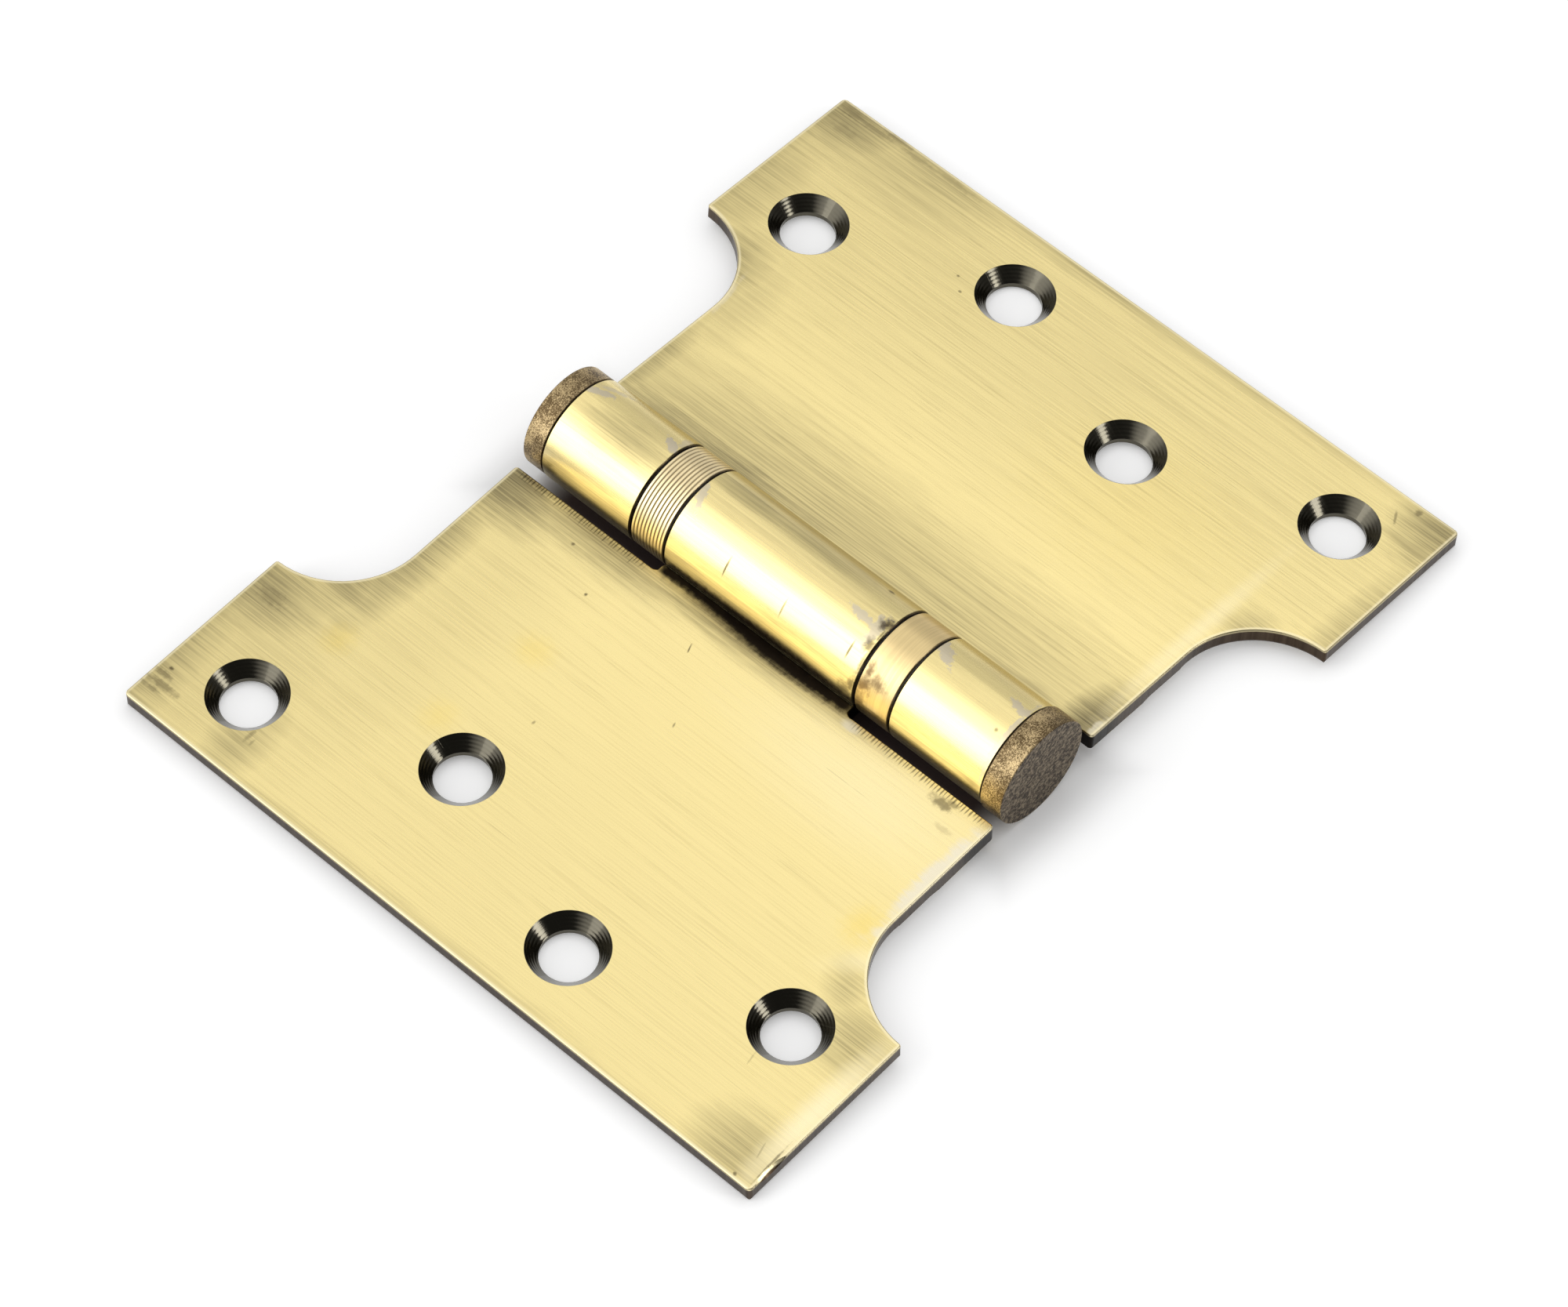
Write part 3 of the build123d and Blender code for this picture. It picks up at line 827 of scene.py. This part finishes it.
far_ring_finish = ring_material("grooved_ring_brass", GROOVED_RING, 0.50)
near_ring_finish = ring_material("smooth_ring_brass", SMOOTH_RING, 0.0)
print("ring materials:", far_ring_finish.name, near_ring_finish.name)

# %% [markdown]
# The pin, the races, the balls and their cages are inside the barrel, and show only when the
# parts are taken out. They are plain turned steel and brass, with fine rings round the axis.

# %% Materials of the hidden turned parts
def turned_material(name, color, roughness, spread, relief):
    """Turned metal with fine rings round the barrel's axis."""
    material, tree, shader = new_material(name)
    barrel = use_group(tree, barrel_group)
    rings = streaks(tree, barrel["Along"], barrel["Arc"], 9.0, 0.10, 4.0)
    dark = tuple(c * (1 - spread) for c in color[:3]) + (1,)
    shade = mix_colors(tree, fade(tree, rings, 0.35, 0.7), color, dark)
    rough = plus(tree, roughness, times(tree, rings, 0.12))
    finish_shader(tree, shader, shade, rough, times(tree, rings, relief))
    return material


steel_finish = turned_material("pin_steel", (0.55, 0.55, 0.56, 1), 0.22, 0.20, 0.003)
race_finish = turned_material("race_steel", (0.42, 0.42, 0.44, 1), 0.25, 0.20, 0.003)
ball_finish = turned_material("ball_steel", (0.70, 0.70, 0.72, 1), 0.08, 0.10, 0.0002)
cage_finish = turned_material("cage_brass", (0.66, 0.52, 0.26, 1), 0.30, 0.25, 0.003)
print("hidden parts:", steel_finish.name, race_finish.name, ball_finish.name, cage_finish.name)

# %% [markdown]
# The caps are darker and grainier than the rest, like bronze from a fine sand mould. Their sides
# are speckled brown and gold, and their flat ends are a dull grey brown that was never brushed.

# %% Material of the end caps
def cap_material():
    material, tree, shader = new_material("cap_bronze")
    barrel = use_group(tree, barrel_group)
    across = math_node(tree, "SINE", math_node(tree, "RADIANS", barrel["Angle"]))
    upward = math_node(tree, "COSINE", math_node(tree, "RADIANS", barrel["Angle"]))
    level = times(tree, across, barrel["Radius"])
    place = vector(tree, level, barrel["Along"], times(tree, upward, barrel["Radius"]))
    grain = noise_value(tree, place, 4.2, 3.0, 0.75)
    speck = noise_value(tree, place, 9.0, 2.0, 0.6)
    cloud = noise_value(tree, place, 0.45, 2.0, 0.5)
    mottle = plus(tree, times(tree, grain, 0.58), times(tree, speck, 0.42))
    side_mottle = plus(tree, mottle, times(tree, minus(tree, cloud, 0.5), 0.35))
    side_share = fade(tree, side_mottle, 0.42, 0.62)
    side = mix_colors(tree, side_share, CAP_SIDE_DARK, CAP_SIDE_PALE)
    coarse = noise_value(tree, place, 1.9, 3.0, 0.75)
    face_mottle = plus(tree, times(tree, grain, 0.35), times(tree, coarse, 0.65))
    face_share = fade(tree, face_mottle, 0.42, 0.62)
    face = mix_colors(tree, face_share, CAP_FACE_DARK, CAP_FACE_PALE)
    from_face = nearest_gap(tree, barrel["Along"], CAP_ENDS)
    inside_rim = fade(tree, barrel["Radius"], 7.38, 7.30)
    on_face = times(tree, fade(tree, from_face, 0.10, 0.03), inside_rim)
    color = mix_colors(tree, on_face, side, face)
    seam = fade(tree, nearest_gap(tree, barrel["Along"], SEAMS), 0.22, 0.06)
    color = mix_colors(tree, times(tree, seam, 0.9), color, STAIN)
    rough = plus(tree, 0.36, times(tree, grain, 0.14), times(tree, on_face, 0.10))
    relief = plus(tree, times(tree, grain, 0.035), times(tree, speck, 0.010))
    finish_shader(tree, shader, color, rough, relief)
    return material


cap_finish = cap_material()
print("cap material:", cap_finish.name)

# %% [markdown]
# Each solid piece gets its finish by its name. The first word that fits decides, so the longer
# names come first.

# %% Give each piece its finish
FINISHES = [
    ("right_leaf", right_finish), ("left_leaf", left_finish), ("cage", cage_finish),
    ("ball", ball_finish), ("far_bearing_shell", far_ring_finish),
    ("near_bearing_shell", near_ring_finish), ("race", race_finish),
    ("pin", steel_finish), ("cap", cap_finish),
]


def finish_for(name):
    """Material of a CAD node by its name."""
    return next(material for word, material in FINISHES if word in name)


for name, piece in nodes.items():
    piece.data.materials.clear()
    piece.data.materials.append(finish_for(name))
print("finished pieces:", len(nodes))

# %% [markdown]
# The floor is a plain white sheet. A white floor would still render a little grey away from the
# lamps, so a touch of glow that only the camera and reflections see lifts it to white. Under and
# beside the barrel its upper side carries a painted shadow: it is coloured dark and left without
# glow, so the narrow gaps beside the barrel look dark.

# %% Floor
FLOOR_WHITE = (0.9, 0.9, 0.9, 1)
# Colour of the painted shadow under the barrel.
FLOOR_SHADOW = (0.10, 0.075, 0.075, 1)
FLOOR_GLOW = 0.22


def make_floor(size):
    """Square sheet with its middle under the hinge."""
    bm = bmesh.new()
    bmesh.ops.create_grid(bm, x_segments=1, y_segments=1, size=size / 2)
    mesh = bpy.data.meshes.new("floor")
    bm.to_mesh(mesh)
    bm.free()
    floor = bpy.data.objects.new("floor", mesh)
    bpy.context.scene.collection.objects.link(floor)
    material = bpy.data.materials.new("floor_white")
    material.use_nodes = True
    tree = material.node_tree
    tree.nodes.clear()
    path = add_node(tree, "LightPath").outputs
    seen = largest(tree, path["Is Camera Ray"], path["Is Glossy Ray"])
    place = add_node(tree, "SeparateXYZ", {0: add_node(tree, "TexCoord").outputs["Object"]}).outputs
    out_x = math_node(tree, "ABSOLUTE", place[0])
    out_y = math_node(tree, "ABSOLUTE", place[1])
    under = add_node(tree, "NewGeometry").outputs["Backfacing"]
    # Painted shadow: the floor is dark under and beside the barrel and fades to white past it and past
    # the ends.
    beside = fade(tree, out_x, 5.2 * MM, 9.5 * MM)
    past_end = fade(tree, out_y, 33.0 * MM, 39.0 * MM)
    outside_painted_shadow = largest(tree, beside, past_end, under)
    shade = mix_colors(tree, outside_painted_shadow, FLOOR_SHADOW, FLOOR_WHITE)
    paper = add_node(tree, "BsdfDiffuse", {"Color": shade}).outputs[0]
    # The glow is left out near the barrel, which deepens the painted shadow there.
    clear = largest(tree, minus(tree, out_x, 9.0 * MM), minus(tree, out_y, 41.0 * MM))
    glow_outside_shadow = largest(tree, fade(tree, clear, -1.0 * MM, 6.0 * MM), under)
    strength = times(tree, seen, glow_outside_shadow, FLOOR_GLOW)
    glow = add_node(tree, "Emission", {"Color": (1, 1, 1, 1), "Strength": strength})
    both = add_node(tree, "AddShader", {0: paper, 1: glow.outputs[0]})
    end = tree.nodes.new("ShaderNodeOutputMaterial")
    tree.links.new(both.outputs[0], end.inputs["Surface"])
    mesh.materials.append(material)
    return floor


floor = make_floor(4.0)
print("floor", [round(d, 2) for d in floor.dimensions])

# %% [markdown]
# The room. The camera sees white. What the metal mirrors is a studio: pale all round, dimmer
# behind the camera, which gives the countersinks their black, and with a soft glow to the far
# left, which spreads the highlight along the barrel.

# %% Room
PALE_WAY = (0.30, 0.75, 0.59)
LEFT_GLOW_WAY = (-0.72, 0.377, 0.583)
RIGHT_GLOW_WAY = (0.80, 0.377, 0.467)
PLAIN_LEVEL = 0.66


def make_room():
    """Studio that metal mirrors. Matt surfaces see only its plain level, and the camera white."""
    world = bpy.data.worlds.new("studio")
    bpy.context.scene.world = world
    world.use_nodes = True
    tree = world.node_tree
    tree.nodes.clear()
    ray = add_node(tree, "TexCoord").outputs["Generated"]
    toward = dot_product(tree, ray, PALE_WAY)
    level = plus(tree, 0.07, times(tree, fade(tree, toward, -0.5, 0.8), 0.50))
    lobe = dot_product(tree, ray, LEFT_GLOW_WAY)
    level = plus(tree, level, times(tree, fade(tree, lobe, 0.65, 1.0), 1.5))
    right = dot_product(tree, ray, RIGHT_GLOW_WAY)
    level = plus(tree, level, times(tree, fade(tree, right, 0.78, 0.98), 0.15))
    path = add_node(tree, "LightPath").outputs
    diffuse = path["Is Diffuse Ray"]
    plain = times(tree, diffuse, PLAIN_LEVEL)
    level = plus(tree, times(tree, level, minus(tree, 1.0, diffuse)), plain)
    level = largest(tree, level, path["Is Camera Ray"])
    sky = add_node(tree, "Background", {"Color": (1, 1, 1, 1), "Strength": level}).outputs[0]
    end = tree.nodes.new("ShaderNodeOutputWorld")
    tree.links.new(sky, end.inputs["Surface"])
    return world


room = make_room()
print("room:", room.name)

# %% [markdown]
# Three soft boxes. The big one hangs flat over the hinge and lights the leaves. The second stands
# to the far left and draws the broad highlight along the barrel. A small one near the camera
# gives the left countersinks their glint. Brightness is what a mirror would see, so a lamp's
# power is that times pi times its area.

# %% Lamps
def make_lamp(name, place, toward, size, brightness):
    """Soft box at a place. toward points from what it lights to the lamp, and x lies level."""
    light = bpy.data.lights.new(name, "AREA")
    light.shape = "RECTANGLE"
    light.size = size[0]
    light.size_y = size[1]
    light.energy = brightness * math.pi * size[0] * size[1]
    lamp = bpy.data.objects.new(name, light)
    bpy.context.scene.collection.objects.link(lamp)
    back = Vector(toward).normalized()
    up = (Vector((0, 1, 0)) - back.y * back).normalized()
    turn = Matrix((up.cross(back), up, back)).transposed()
    lamp.matrix_world = Matrix.Translation(place) @ turn.to_4x4()
    lamp.visible_camera = False
    return lamp


LEFT_WAY = Vector((-0.832, 0.377, 0.407))
NEAR_WAY = Vector((0.336, -0.894, 0.298))
LAMP_AWAY = 0.70
top_lamp = make_lamp("top_lamp", place=(0.20, 0.085, 0.62), toward=(0, 0, 1),
                     size=(0.84, 0.67), brightness=0.545)
left_lamp = make_lamp("left_lamp", place=LEFT_WAY * LAMP_AWAY, toward=LEFT_WAY,
                      size=(0.66, 0.30), brightness=1.3)
near_lamp = make_lamp("near_lamp", place=NEAR_WAY * LAMP_AWAY, toward=NEAR_WAY,
                      size=(0.20, 0.20), brightness=6.5)
print("lamps:", top_lamp.name, left_lamp.name, near_lamp.name)

# %% Colour management
bpy.context.scene.view_settings.view_transform = "Standard"
